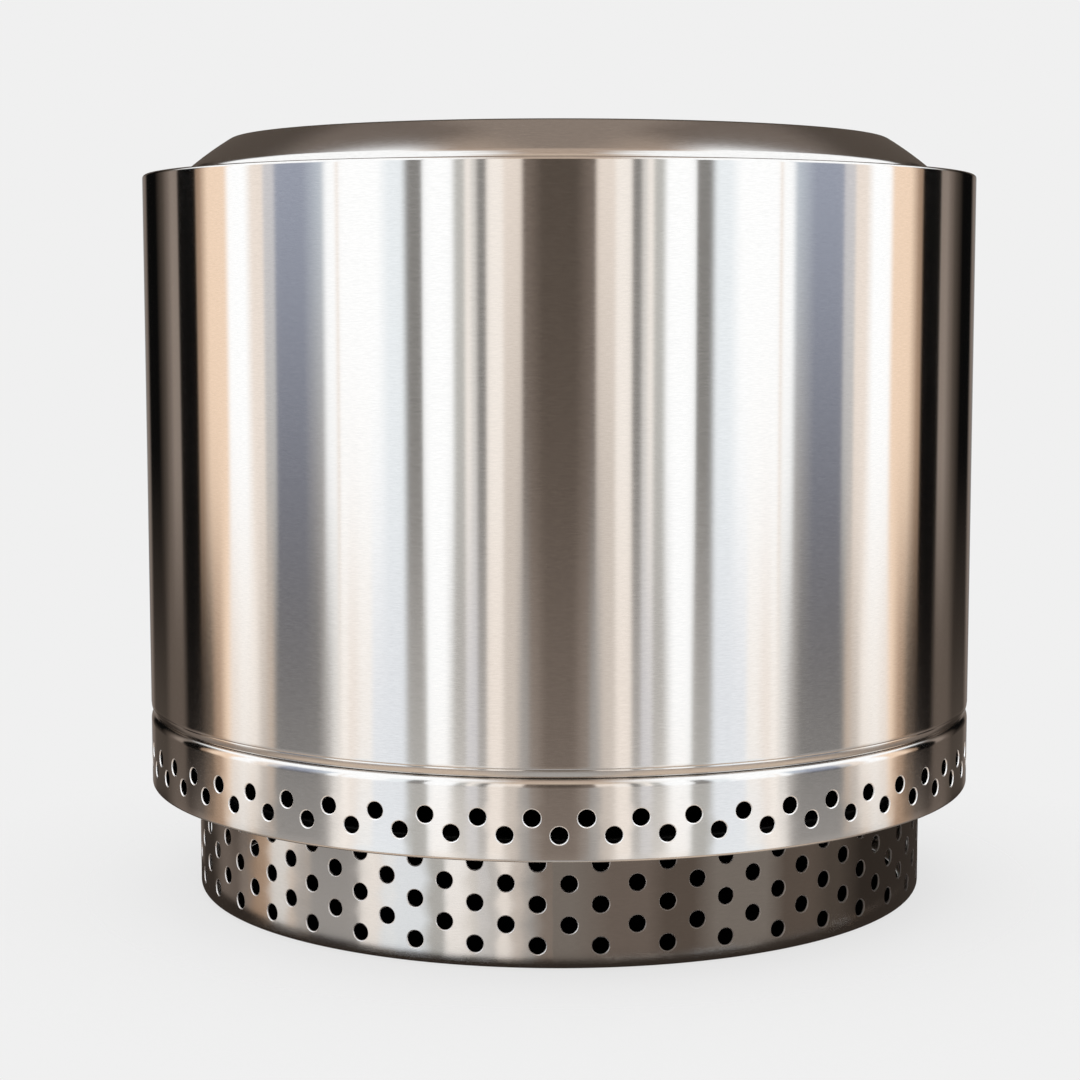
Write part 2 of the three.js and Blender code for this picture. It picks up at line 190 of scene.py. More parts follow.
# Ash pan and grate
TRAY_RIM = reach("ash_pan")
TRAY_TOP = top("ash_pan")
TRAY_RIM_WIDTH = 4.0 * MM
TRAY_RIM_BEND = 1.6 * MM
TRAY_TAPER = 3.0 * MM
TRAY_WALL_LEAN_DEGREES = 5
TRAY_FLOOR = foot("ash_pan") + SHELL_SHEET
TRAY_FLOOR_BEND = 5.0 * MM
TRAY_OPENING = bore("ash_pan")
HUB_FLANGE = reach("ash_pan_hub")
HUB_FOOT = foot("ash_pan_hub")
HUB_TOP = top("ash_pan_hub")
HUB_HOLE_RADIUS = 4.5 * MM
HUB_HOLE_COUNT = 8
HUB_HOLE_CELL = 18.0 * MM
HUB_WALL_ABOVE_CELL = 1.0 * MM
HUB_WALL_BELOW_CELL = 0.5 * MM
GRATE_RADIUS = reach("grate")
GRATE_TOP = top("grate")
GRATE_FOOT = foot("grate")
GRATE_BEND = 2.2 * MM
GRATE_CUT_EDGE = 0.5 * MM
GRATE_HOLE_RADIUS = 6.0 * MM
GRATE_FINGER_RADIUS = 14.0 * MM
GRATE_FINGER_STEPS = 32
GRATE_CUTTER_LENGTH = 6 * PLATE
GRATE_EDGE_MARGIN = 24.0 * MM
GRATE_RINGS = 3
GRATE_HOLES_PER_RING_STEP = 6


def points_on_arc(centre, width, start, end, steps, height=None):
    """(radius, height) points of an arc in the section, angles in degrees, both ends included.
    It is a circle's arc, unless its half height is given besides its half width."""
    height = height or width
    points = []
    for step in range(steps + 1):
        angle = math.radians(start + (end - start) * step / steps)
        points.append((centre[0] + width * math.cos(angle), centre[1] + height * math.sin(angle)))
    return points


def points_between(start, end, start_angle, end_angle, steps):
    """(radius, height) points inside a gentle curve. The angles are where its face looks at its ends."""
    handle = math.dist(start, end) / 3
    first, last = math.radians(start_angle + 90), math.radians(end_angle + 90)
    near = (start[0] + handle * math.cos(first), start[1] + handle * math.sin(first))
    far = (end[0] - handle * math.cos(last), end[1] - handle * math.sin(last))
    points = []
    for step in range(1, steps):
        t = step / steps
        shares = ((1 - t) ** 3, 3 * t * (1 - t) ** 2, 3 * t * t * (1 - t), t ** 3)
        weighted = list(zip(shares, (start, near, far, end)))
        points.append(tuple(sum(share * point[axis] for share, point in weighted) for axis in (0, 1)))
    return points


def begin(name, add, **options):
    """A new piece from a primitive, left in edit mode with all of it selected."""
    bpy.ops.object.select_all(action="DESELECT")
    add(**options)
    piece = bpy.context.object
    piece.name = piece.data.name = name
    bpy.ops.object.mode_set(mode="EDIT")
    bpy.ops.mesh.select_mode(type="VERT")
    bpy.ops.mesh.select_all(action="SELECT")
    return piece


def select_where(piece, test):
    """Selects the vertices whose place passes the test, and the edges between them."""
    bpy.ops.mesh.select_mode(type="VERT")
    bpy.ops.mesh.select_all(action="DESELECT")
    mesh = bmesh.from_edit_mesh(piece.data)
    for vertex in mesh.verts:
        vertex.select_set(test(vertex.co))
    mesh.select_flush(True)
    bmesh.update_edit_mesh(piece.data)


def extrude_by(x=0, y=0, z=0):
    bpy.ops.mesh.extrude_edges_move(TRANSFORM_OT_translate={"value": (x, y, z)})


def extrude_section(points):
    """Extrudes the selected ring of edges from the first (radius, height) point through the others."""
    for (radius, height), (next_radius, next_height) in zip(points, points[1:]):
        extrude_by(z=next_height - height)
        ratio = next_radius / radius
        bpy.ops.transform.resize(value=(ratio, ratio, 1), center_override=(0, 0, next_height))


def close_on_axis():
    """Draws the selected ring of edges together into a pole."""
    extrude_by()
    bpy.ops.mesh.merge(type="CENTER")


def turned(name, points, steps=ROUND_STEPS, closed=False):
    """An open sheet turned round the axis, left in edit mode. A closed one ends in a pole."""
    piece = begin(name, bpy.ops.mesh.primitive_circle_add, vertices=steps, radius=points[0][0])
    bpy.ops.transform.translate(value=(0, 0, points[0][1]))
    extrude_section(points)
    if closed:
        close_on_axis()
    return piece


def turned_sheet(name, points, thickness, steps=ROUND_STEPS, closed=False):
    """A finished sheet turned round the axis, whose face is on the right of the way through the points."""
    piece = turned(name, points, steps, closed)
    finish_sheet(piece, points[:2], thickness)
    return piece


def apply(piece, kind, **settings):
    modifier = piece.modifiers.new(kind.title(), kind)
    for key, value in settings.items():
        setattr(modifier, key, value)
    bpy.ops.object.modifier_apply(modifier=modifier.name)


def face_outwards(piece, start, end):
    """Turns the sheet's faces to the right-hand side of the way from one section point to the next."""
    bpy.ops.mesh.select_all(action="SELECT")
    bpy.ops.mesh.remove_doubles(threshold=WELD)
    bpy.ops.mesh.normals_make_consistent(inside=False)
    radius, height = (start[0] + end[0]) / 2, (start[1] + end[1]) / 2
    mesh = bmesh.from_edit_mesh(piece.data)

    def distance(face):
        centre = face.calc_center_median()
        return math.hypot(math.hypot(centre.x, centre.y) - radius, centre.z - height)

    nearest = min(mesh.faces, key=distance)
    centre = nearest.calc_center_median()
    outwards = (nearest.normal.x * centre.x + nearest.normal.y * centre.y) / math.hypot(centre.x, centre.y)
    if outwards * (end[1] - start[1]) - nearest.normal.z * (end[0] - start[0]) < 0:
        bpy.ops.mesh.flip_normals()


def finish_edges(piece, edge, edge_highlight_steel=None):
    """Rounds the cut edges and smooths the shading between them. The rounding may have its own lighter steel,
    which paints a highlight along the rims.
    """
    if not piece.data.materials:
        piece.data.materials.append(None)
    if edge_highlight_steel:
        piece.data.materials.append(edge_highlight_steel)
    bpy.ops.object.shade_smooth_by_angle(angle=SMOOTH_ANGLE)
    apply(piece, "BEVEL", width=edge, segments=EDGE_STEPS, limit_method="ANGLE", angle_limit=BEVEL_ANGLE,
          material=1 if edge_highlight_steel else -1)
    bpy.ops.object.shade_smooth_by_angle(angle=BEVEL_ANGLE)
    apply(piece, "WEIGHTED_NORMAL", keep_sharp=True)


def finish_sheet(piece, facing, thickness, edge=CUT_EDGE, edge_highlight_steel=None):
    """Faces the sheet the right way, and gives it its thickness behind that face and rounded cut edges."""
    face_outwards(piece, *facing)
    bpy.ops.object.mode_set(mode="OBJECT")
    apply(piece, "SOLIDIFY", thickness=thickness, offset=-1, use_even_offset=True)
    finish_edges(piece, edge, edge_highlight_steel)


def punched_tile(name, columns, width, height, hole_radius):
    """A flat piece of sheet in the XZ plane with round holes, one column of heights after the other.
    All columns are brought to the same foot and top, with the same steps between."""
    cuts = HOLE_SIDE_CUTS
    step = height / cuts
    piece = begin(name, bpy.ops.mesh.primitive_grid_add, x_subdivisions=cuts, y_subdivisions=cuts, size=1)
    bpy.ops.transform.resize(value=(width, height, 1))
    select_where(piece, lambda co: abs(abs(co.x) - width / 2) > WELD and abs(abs(co.y) - height / 2) > WELD)
    bpy.ops.mesh.delete(type="VERT")
    bpy.ops.mesh.primitive_circle_add(vertices=4 * cuts, radius=hole_radius, fill_type="NOTHING")
    bpy.ops.mesh.select_all(action="SELECT")
    bpy.ops.mesh.bridge_edge_loops()
    bpy.ops.mesh.select_all(action="SELECT")
    bpy.ops.transform.rotate(value=-math.pi / 2, orient_axis="X", center_override=(0, 0, 0))
    places = [(index * width, hole) for index, holes in enumerate(columns) for hole in holes]
    bpy.ops.transform.translate(value=(width / 2, 0, places[0][1]))
    for (x, z), (next_x, next_z) in zip(places, places[1:]):
        bpy.ops.mesh.duplicate_move(TRANSFORM_OT_translate={"value": (next_x - x, 0, next_z - z)})
    low = min(min(holes) for holes in columns) - height / 2
    high = max(max(holes) for holes in columns) + height / 2
    for index, holes in enumerate(columns):
        left, right = index * width - WELD, (index + 1) * width + WELD
        for end, limit, sign in ((min(holes) - height / 2, low, -1), (max(holes) + height / 2, high, 1)):
            select_where(piece, lambda co: left < co.x < right and abs(co.z - end) < WELD)
            for _ in range(round(abs(limit - end) / step)):
                extrude_by(z=sign * step)
    return piece


def roll_up(piece, tile_width, count, radius, seam=0, turn=0):
    """Repeats the tile along X, rolls the strip round the axis and turns it.
    Its ends meet at the back before the turn. A seam is blank sheet between the end tiles."""
    bpy.ops.mesh.select_all(action="SELECT")
    bpy.ops.mesh.remove_doubles(threshold=WELD)
    bpy.ops.object.mode_set(mode="OBJECT")
    apply(piece, "ARRAY", count=count, use_relative_offset=False, use_constant_offset=True,
          constant_offset_displace=(tile_width, 0, 0), use_merge_vertices=True, merge_threshold=WELD)
    length = tile_width * count
    bpy.ops.object.mode_set(mode="EDIT")
    bpy.ops.mesh.select_all(action="SELECT")
    bpy.ops.transform.translate(value=(-length / 2, 0, 0))
    if seam:
        for sign in (-1, 1):
            select_where(piece, lambda co: abs(co.x - sign * length / 2) < WELD)
            extrude_by(x=sign * seam / 2)
    bpy.ops.object.mode_set(mode="OBJECT")
    apply(piece, "SIMPLE_DEFORM", deform_method="BEND", deform_axis="Z", angle=2 * math.pi)
    bpy.ops.object.mode_set(mode="EDIT")
    bpy.ops.mesh.select_all(action="SELECT")
    bpy.ops.transform.translate(value=(0, -radius, 0))
    bpy.ops.mesh.remove_doubles(threshold=WELD)
    if turn:
        bpy.ops.mesh.select_all(action="SELECT")
        bpy.ops.transform.rotate(value=-turn, orient_axis="Z", center_override=(0, 0, 0))
    return piece


def continue_section(piece, from_height, points):
    """Extrudes the ring of edges that lies at from_height through the (radius, height) points."""
    select_where(piece, lambda co: abs(co.z - from_height) < WELD)
    extrude_section(points)


def place(piece, slot, body, material, *nodes):
    """Gives a finished piece its steel, its body and the parts that it stands for."""
    if not piece.data.materials:
        piece.data.materials.append(None)
    piece.data.materials[0] = material
    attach(piece, body)
    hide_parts(*nodes)


def set_around(piece, distance, angles):
    """Copies of a piece, each with its own mesh, moved out to the distance and turned to its angle."""
    name = piece.name
    copies = [piece]
    for _ in angles[1:]:
        copy = piece.copy()
        copy.data = piece.data.copy()
        bpy.context.collection.objects.link(copy)
        copies.append(copy)
    for index, (copy, angle) in enumerate(zip(copies, angles)):
        copy.name = copy.data.name = f"{name}_{index + 1}"
        copy.location = (distance * math.sin(angle), -distance * math.cos(angle), 0)
        copy.rotation_euler = (0, 0, angle)
        bpy.ops.object.select_all(action="DESELECT")
        copy.select_set(True)
        bpy.context.view_layer.objects.active = copy
        bpy.ops.object.transform_apply(location=True, rotation=True, scale=True)
    return copies


def place_around(piece, distance, angles, slot, body, material, node):
    """Sets a finished piece around the axis. Each copy stands for its own numbered part."""
    for index, copy in enumerate(set_around(piece, distance, angles)):
        place(copy, slot, body, material, f"{node}_{index + 1}")


# Steel finishes. Each noise has its spots per metre round the piece and up it, and its layers of detail
STROKES = (260, 2200, 3)
CLOUDS = (9, 9, 2)
SWELL = (14, 5, 1)
SWELL_HEIGHT = 0.1 * MM
NOISE_ROUGHNESS = 0.6
GRAIN = 0.045
ROUGHNESS_SPREAD = 0.012
QUARTER_TURN = 0.25


def new_material(name):
    material = bpy.data.materials.new(name)
    material.use_nodes = True
    return material


def stretched_noise(tree, coordinates, along, up, detail):
    """Noise on Object coordinates, with its own count of spots per metre round the piece and up it."""
    mapping = tree.nodes.new("ShaderNodeMapping")
    mapping.inputs["Scale"].default_value = (along, along, up)
    noise = tree.nodes.new("ShaderNodeTexNoise")
    noise.inputs["Scale"].default_value = 1
    noise.inputs["Detail"].default_value = detail
    noise.inputs["Roughness"].default_value = NOISE_ROUGHNESS
    tree.links.new(coordinates.outputs["Object"], mapping.inputs["Vector"])
    tree.links.new(mapping.outputs["Vector"], noise.inputs["Vector"])
    return noise.outputs["Fac"]


def remap(tree, value, low, high, from_low=0.3, from_high=0.7):
    """Spreads a value over a new range. Noise lies mostly between 0.3 and 0.7."""
    made = tree.nodes.new("ShaderNodeMapRange")
    made.inputs["From Min"].default_value = from_low
    made.inputs["From Max"].default_value = from_high
    made.inputs["To Min"].default_value = low
    made.inputs["To Max"].default_value = high
    tree.links.new(value, made.inputs["Value"])
    return made.outputs["Result"]


def add_up(tree, first, second, clamp=False):
    total = tree.nodes.new("ShaderNodeMath")
    total.operation = "ADD"
    total.use_clamp = clamp
    tree.links.new(first, total.inputs[0])
    tree.links.new(second, total.inputs[1])
    return total.outputs["Value"]


def brushed_steel(name, colour, roughness, anisotropy, waviness=0.2, edge=1, metal=1):
    """Stainless steel brushed round the axis: short level strokes, blurred up and down by the brushing.
    Waviness is how much the sheet ripples, and edge how much it mirrors at a grazing angle."""
    material = new_material(name)
    tree = material.node_tree
    shader = tree.nodes["Principled BSDF"]
    shader.inputs["Metallic"].default_value = metal
    shader.inputs["Anisotropic"].default_value = anisotropy
    shader.inputs["Anisotropic Rotation"].default_value = QUARTER_TURN
    shader.inputs["Specular Tint"].default_value = (edge, edge, edge, 1)
    coordinates = tree.nodes.new("ShaderNodeTexCoord")
    tangent = tree.nodes.new("ShaderNodeTangent")
    tangent.direction_type = "RADIAL"
    tangent.axis = "Z"
    tree.links.new(tangent.outputs["Tangent"], shader.inputs["Tangent"])

    strokes = stretched_noise(tree, coordinates, *STROKES)
    clouds = stretched_noise(tree, coordinates, *CLOUDS)
    shade = tree.nodes.new("ShaderNodeMix")
    shade.data_type = "RGBA"
    shade.inputs["A"].default_value = (*[c * (1 - GRAIN) for c in colour], 1)
    shade.inputs["B"].default_value = (*[min(c * (1 + GRAIN), 1) for c in colour], 1)
    tree.links.new(remap(tree, strokes, 0, 1), shade.inputs["Factor"])
    tree.links.new(shade.outputs["Result"], shader.inputs["Base Color"])

    fine = remap(tree, strokes, roughness - ROUGHNESS_SPREAD, roughness + ROUGHNESS_SPREAD)
    broad = remap(tree, clouds, -ROUGHNESS_SPREAD / 2, ROUGHNESS_SPREAD / 2)
    tree.links.new(add_up(tree, fine, broad), shader.inputs["Roughness"])

    wave = tree.nodes.new("ShaderNodeBump")
    wave.inputs["Strength"].default_value = waviness
    wave.inputs["Distance"].default_value = SWELL_HEIGHT
    tree.links.new(stretched_noise(tree, coordinates, *SWELL), wave.inputs["Height"])
    tree.links.new(wave.outputs["Normal"], shader.inputs["Normal"])
    return material


shell_steel = brushed_steel("Wall brushed steel", (0.63, 0.60, 0.57), 0.12, 1)
ring_steel = brushed_steel("Ring brushed steel", (0.60, 0.57, 0.54), 0.13, 0.6, waviness=0.1)
stand_steel = brushed_steel("Stand brushed steel", (0.58, 0.55, 0.52), 0.13, 1, waviness=0.1)
# Lighter copies of the steel for the rounded rims of the punched holes: painted highlights along the rims
band_edge_highlight_steel = brushed_steel("Band rim painted highlight", (0.9, 0.88, 0.86), 0.4, 0, metal=0.92)
stand_edge_highlight_steel = brushed_steel("Stand rim painted highlight", (0.75, 0.72, 0.7), 0.4, 0, metal=0.92)
# Near-black copy of the steel for the base pan: painted shade inside the pit
painted_shade_steel = brushed_steel("Base steel painted dark as shade", (0.04, 0.038, 0.036), 0.5, 0, edge=0.15)
plain_steel = brushed_steel("Plain sheet steel", (0.52, 0.51, 0.49), 0.35, 0)
liner_steel = brushed_steel("Chamber sheet steel", (0.52, 0.50, 0.48), 0.3, 0.7)
pan_steel = brushed_steel("Spun pan steel", (0.54, 0.52, 0.50), 0.3, 0.8)
grate_steel = brushed_steel("Grate plate steel", (0.50, 0.48, 0.46), 0.4, 0.3)
fastener_steel = brushed_steel("Rivet steel", (0.66, 0.65, 0.63), 0.3, 0)


def make_stand():
    odd_rows = [STAND_FIRST_ROW + row * STAND_ROW_PITCH for row in (0, 2, 4)]
    even_rows = [STAND_FIRST_ROW + row * STAND_ROW_PITCH for row in (1, 3)]
    seam = STAND_SEAM_EXTRA * STAND_RADIUS
    column = (2 * math.pi * STAND_RADIUS - seam) / (2 * STAND_COLUMN_PAIRS)
    cell = 2 * STAND_ROW_PITCH
    stand = punched_tile("stand_sheet", [even_rows, odd_rows], column, cell, STAND_HOLE_RADIUS)
    roll_up(stand, 2 * column, STAND_COLUMN_PAIRS, STAND_RADIUS, seam, math.pi + STAND_SEAM_ANGLE)
    low = STAND_FIRST_ROW - cell / 2
    high = odd_rows[-1] + cell / 2
    select_where(stand, lambda co: abs(co.z - low) < WELD)
    bpy.ops.transform.translate(value=(0, 0, STAND_CORNER - low))
    continue_section(stand, high, [(STAND_RADIUS, high), (STAND_RADIUS, STAND_TOP)])
    corner_centre = (STAND_RADIUS - STAND_CORNER, STAND_CORNER)
    corner = points_on_arc(corner_centre, STAND_CORNER, 0, -90, STAND_CORNER_STEPS)
    continue_section(stand, STAND_CORNER, [*corner, (STAND_RADIUS - STAND_FOOT_WIDTH, 0)])
    upper_edge = [(STAND_RADIUS, high), (STAND_RADIUS, STAND_TOP)]
    # The punched rims get the lighter steel, a painted highlight
    finish_sheet(stand, upper_edge, SHELL_SHEET, PUNCHED_EDGE, stand_edge_highlight_steel)
    place(stand, "stand_steel", "stand", stand_steel, "stand_wall")


def make_stand_ring():
    outer = reach("stand_top_ring")
    bend_centre = (outer - STAND_RING_BEND, STAND_TOP - STAND_RING_BEND)
    points = [
        (outer, foot("stand_top_ring")),
        *points_on_arc(bend_centre, STAND_RING_BEND, 0, 90, BEND_STEPS),
        (bore("stand_top_ring"), STAND_TOP),
    ]
    ring = turned_sheet("stand_angle_ring", points, SHELL_SHEET)
    place(ring, "stand_steel", "stand", stand_steel, "stand_top_ring")


def make_upper_wall():
    tuck_centre = (PIT_RADIUS - TUCK_DEPTH, SEAM + TUCK_HEIGHT)
    corner_centre = (PIT_RADIUS - RIM_CORNER, RIM_TOP - RIM_CORNER)
    crease = SEAM + CREASE_ABOVE_SEAM
    tuck = points_on_arc(tuck_centre, TUCK_DEPTH, -90, 0, TUCK_STEPS, TUCK_HEIGHT)
    tuck = [(radius - max(CREASE_DEPTH * (1 - abs(height - crease) / (CREASE_WIDTH / 2)), 0), height)
            for radius, height in tuck]
    points = [
        *tuck,
        *points_on_arc(corner_centre, RIM_CORNER, 0, 90, WIDE_BEND_STEPS),
        (LEDGE_BORE, RIM_TOP),
    ]
    wall = turned_sheet("upper_wall", points, SHELL_SHEET)
    place(wall, "brushed_shell", "pit", shell_steel, "outer_wall")


def make_vent_band():
    column = math.pi * PIT_RADIUS / BAND_COLUMN_PAIRS
    cell = 2 * BAND_ROW_PITCH
    upper_row = BAND_LOWER_ROW + BAND_ROW_PITCH
    band = punched_tile("vented_band", [[BAND_LOWER_ROW], [upper_row]], column, cell, BAND_HOLE_RADIUS)
    roll_up(band, 2 * column, BAND_COLUMN_PAIRS, PIT_RADIUS, turn=math.pi - column / 2 / PIT_RADIUS)
    low = BAND_LOWER_ROW - cell / 2
    high = upper_row + cell / 2
    corner_centre = (PIT_RADIUS - BAND_CORNER, BAND_FOOT + BAND_CORNER)
    corner = points_on_arc(corner_centre, BAND_CORNER, 0, -90, TIGHT_BEND_STEPS)
    flange = (PIT_RADIUS - BAND_FLANGE_WIDTH, BAND_FOOT)
    continue_section(band, low, [(PIT_RADIUS, low), *corner, flange])
    neck = PIT_RADIUS - TUCK_DEPTH - 2 * SEAT_GAP
    shoulder_centre = (neck, SEAM - SEAT_GAP - SHOULDER_HEIGHT)
    shoulder = points_on_arc(shoulder_centre, PIT_RADIUS - neck, 0, SHOULDER_DEGREES, LONG_BEND_STEPS,
                             SHOULDER_HEIGHT)
    bend_centre = (neck + NECK_BEND, SEAM - SEAT_GAP + NECK_BEND)
    bend = points_on_arc(bend_centre, NECK_BEND, 270, 180, TIGHT_BEND_STEPS)
    continue_section(band, high, [(PIT_RADIUS, high), *shoulder, *bend, (neck, BAND_TOP)])
    # The punched rims get the lighter steel, a painted highlight
    finish_sheet(band, [(PIT_RADIUS, high), shoulder[0]], SHELL_SHEET, PUNCHED_EDGE, band_edge_highlight_steel)
    place(band, "brushed_shell", "pit", shell_steel, "vent_band")


def make_base_pan():
    recess = PAN_RECESS + SHELL_SHEET
    points = [
        (PAN_EDGE, PAN_OUTER_TOP),
        (recess, PAN_OUTER_TOP),
        *points_on_arc((recess - PAN_BEND, PAN_TOP - PAN_BEND), PAN_BEND, 0, 90, BEND_STEPS),
    ]
    pan = turned_sheet("base_pan", points, SHELL_SHEET, closed=True)
    # The base pan gets the near-black steel, painted shade inside the pit
    place(pan, "plain_steel", "pit", painted_shade_steel, "bottom_pan")


def make_heat_shield():
    bend_centre = (SHIELD_RADIUS - SHIELD_BEND, SHIELD_TOP - SHIELD_BEND)
    points = [(SHIELD_RADIUS, SHIELD_FOOT), *points_on_arc(bend_centre, SHIELD_BEND, 0, 90, BEND_STEPS)]
    shield = turned_sheet("shield_disc", points, SHELL_SHEET, closed=True)
    place(shield, "liner_steel", "pit", liner_steel, "heat_shield")


def make_spacers():
    points = [(SPACER_RADIUS, foot("shield_standoff_1")), (SPACER_RADIUS, top("shield_standoff_1"))]
    spacer = turned_sheet("spacer", points, SPACER_RADIUS - SPACER_BORE, SMALL_STEPS)
    place_around(spacer, SPACER_PLACE, DIAGONALS, "fastener_steel", "pit", fastener_steel, "shield_standoff")


def make_rivets():
    low = foot("shield_rivet_1") + RIVET_HEAD_HEIGHT
    high = top("shield_rivet_1") - RIVET_HEAD_HEIGHT
    lower_head = points_on_arc((0, low), RIVET_HEAD_RADIUS, -RIVET_HEAD_DEGREES, 0, WIDE_BEND_STEPS,
                               RIVET_HEAD_HEIGHT)
    upper_head = points_on_arc((0, high), RIVET_HEAD_RADIUS, 0, RIVET_HEAD_DEGREES, WIDE_BEND_STEPS,
                               RIVET_HEAD_HEIGHT)
    shank = [(RIVET_SHANK, low), (RIVET_SHANK, high)]
    rivet = turned("rivet", [*lower_head, *shank, *upper_head], SMALL_STEPS, closed=True)
    select_where(rivet, lambda co: abs(co.z - lower_head[0][1]) < WELD)
    bpy.ops.mesh.edge_face_add()
    bpy.ops.mesh.select_all(action="SELECT")
    bpy.ops.mesh.normals_make_consistent(inside=False)
    bpy.ops.object.mode_set(mode="OBJECT")
    bpy.ops.object.shade_smooth_by_angle(angle=SMOOTH_ANGLE)
    place_around(rivet, SPACER_PLACE, DIAGONALS, "fastener_steel", "pit", fastener_steel, "shield_rivet")


def make_chamber_wall():
    column = 2 * math.pi * CHAMBER_RADIUS / AIR_HOLE_COUNT
    wall = punched_tile("fire_wall", [[AIR_HOLE_ROW]], column, AIR_HOLE_CELL, AIR_HOLE_RADIUS)
    roll_up(wall, column, AIR_HOLE_COUNT, CHAMBER_RADIUS)
    low, high = AIR_HOLE_ROW - AIR_HOLE_CELL / 2, AIR_HOLE_ROW + AIR_HOLE_CELL / 2
    bend = CHAMBER_TOP - high
    corner = points_on_arc((CHAMBER_RADIUS + bend, high), bend, 180, 90, WIDE_BEND_STEPS)
    continue_section(wall, high, [*corner, (CHAMBER_FLANGE, CHAMBER_TOP)])
    lower_wall = [(CHAMBER_RADIUS, low), (CHAMBER_RADIUS, CHAMBER_FOOT)]
    continue_section(wall, low, lower_wall)
    finish_sheet(wall, lower_wall, LINER_SHEET)
    place(wall, "liner_steel", "pit", liner_steel, "chamber_wall")


def make_chamber_floor():
    floor = turned_sheet("fire_floor", [
        (FLOOR_LEG_RADIUS, FLOOR_LEG_TOP),
        (FLOOR_LEG_RADIUS, FLOOR_LEG_FOOT),
        (SEAT_OUTER, SEAT_TOP),
        (SEAT_BORE, SEAT_TOP),
    ], SHELL_SHEET)
    place(floor, "liner_steel", "pit", liner_steel, "chamber_floor")


def bent_strip(name, width, sheet, bend, points):
    """A strip of sheet at the front, bent through (distance from the axis, height) points of its middle."""
    strip = begin(name, bpy.ops.mesh.primitive_plane_add, size=width)
    bpy.ops.transform.resize(value=(1, 0, 1))
    bpy.ops.mesh.remove_doubles(threshold=WELD)
    bpy.ops.transform.translate(value=(0, -points[0][0], points[0][1]))
    for (distance, height), (next_distance, next_height) in zip(points, points[1:]):
        extrude_by(y=distance - next_distance, z=next_height - height)
    folds = points[1:-1]
    select_where(strip, lambda co: any(abs(co.y + d) < WELD and abs(co.z - h) < WELD for d, h in folds))
    bpy.ops.mesh.bevel(offset=bend, segments=TIGHT_BEND_STEPS, affect="EDGES")
    bpy.ops.mesh.select_all(action="SELECT")
    bpy.ops.mesh.normals_make_consistent(inside=False)
    bpy.ops.object.mode_set(mode="OBJECT")
    apply(strip, "SOLIDIFY", thickness=sheet, offset=0, use_even_offset=True)
    finish_edges(strip, CUT_EDGE)
    return strip


def make_brackets():
    half = PLATE / 2
    bracket = bent_strip("floor_bracket", BRACKET_WIDTH, PLATE, BRACKET_BEND, [
        (BRACKET_PLACE + BRACKET_REACH, BRACKET_FOOT + half),
        (BRACKET_PLACE, BRACKET_FOOT + half),
        (BRACKET_PLACE, BRACKET_TOP - half),
        (BRACKET_PLACE - BRACKET_REACH, BRACKET_TOP - half),
    ])
    place_around(bracket, 0, DIAGONALS, "plain_steel", "pit", plain_steel, "chamber_bracket")


def make_ring_stops():
    half = STOP_SHEET / 2
    stop = bent_strip("ring_stop_sheet", STOP_WIDTH, STOP_SHEET, STOP_BEND, [
        (STOP_FACE - half, foot("ring_stop_1")),
        (STOP_FACE - half, top("ring_stop_1") - half),
        (STOP_TIP, top("ring_stop_1") - half),
    ])
    place_around(stop, 0, QUARTERS, "plain_steel", "pit", plain_steel, "ring_stop")


def make_flame_ring():
    slope_end = 90 - math.degrees(RING_SLOPE)
    foot_end = slope_end - RING_BULGE_DEGREES
    knee_start = slope_end + RING_BULGE_DEGREES
    foot_centre = (RING_SKIRT - RING_FOOT_RADIUS, RIM_TOP)
    knee_centre = (RING_BORE + RING_LIP_RADIUS, RING_TOP - RING_KNEE_RADIUS)
    lip_centre = (RING_BORE + RING_LIP_RADIUS, RING_TOP - RING_LIP_RADIUS)
    foot_arc = points_on_arc(foot_centre, RING_FOOT_RADIUS, 0, foot_end, LONG_BEND_STEPS)
    knee_arc = points_on_arc(knee_centre, RING_KNEE_RADIUS, knee_start, 90, LONG_BEND_STEPS)
    points = [
        (RING_SKIRT, RING_FOOT),
        *foot_arc,
        *points_between(foot_arc[-1], knee_arc[0], foot_end, knee_start, LONG_BEND_STEPS),
        *knee_arc,
        *points_on_arc(lip_centre, RING_LIP_RADIUS, 90, 180, LONG_BEND_STEPS)[1:],
        (RING_BORE, RING_TOP - RING_LIP_RADIUS - RING_LIP_DROP),
    ]
    ring = turned_sheet("fire_ring", points, SHELL_SHEET)
    place(ring, "brushed_ring", "flame_ring", ring_steel, "flame_ring")


def make_ash_tray():
    wall_top = TRAY_RIM - TRAY_RIM_WIDTH - SHELL_SHEET
    wall_foot = wall_top - TRAY_TAPER
    rim_centre = (wall_top + TRAY_RIM_BEND, TRAY_TOP - TRAY_RIM_BEND)
    floor_centre = (wall_foot - TRAY_FLOOR_BEND, TRAY_FLOOR + TRAY_FLOOR_BEND)
    lean = TRAY_WALL_LEAN_DEGREES
    tray = turned_sheet("ash_tray", [
        (TRAY_RIM, TRAY_TOP),
        *points_on_arc(rim_centre, TRAY_RIM_BEND, 90, 180 - lean, BEND_STEPS),
        *points_on_arc(floor_centre, TRAY_FLOOR_BEND, -lean, -90, WIDE_BEND_STEPS),
        (TRAY_OPENING, TRAY_FLOOR),
    ], SHELL_SHEET)
    place(tray, "pan_steel", "ash_pan", pan_steel, "ash_pan")


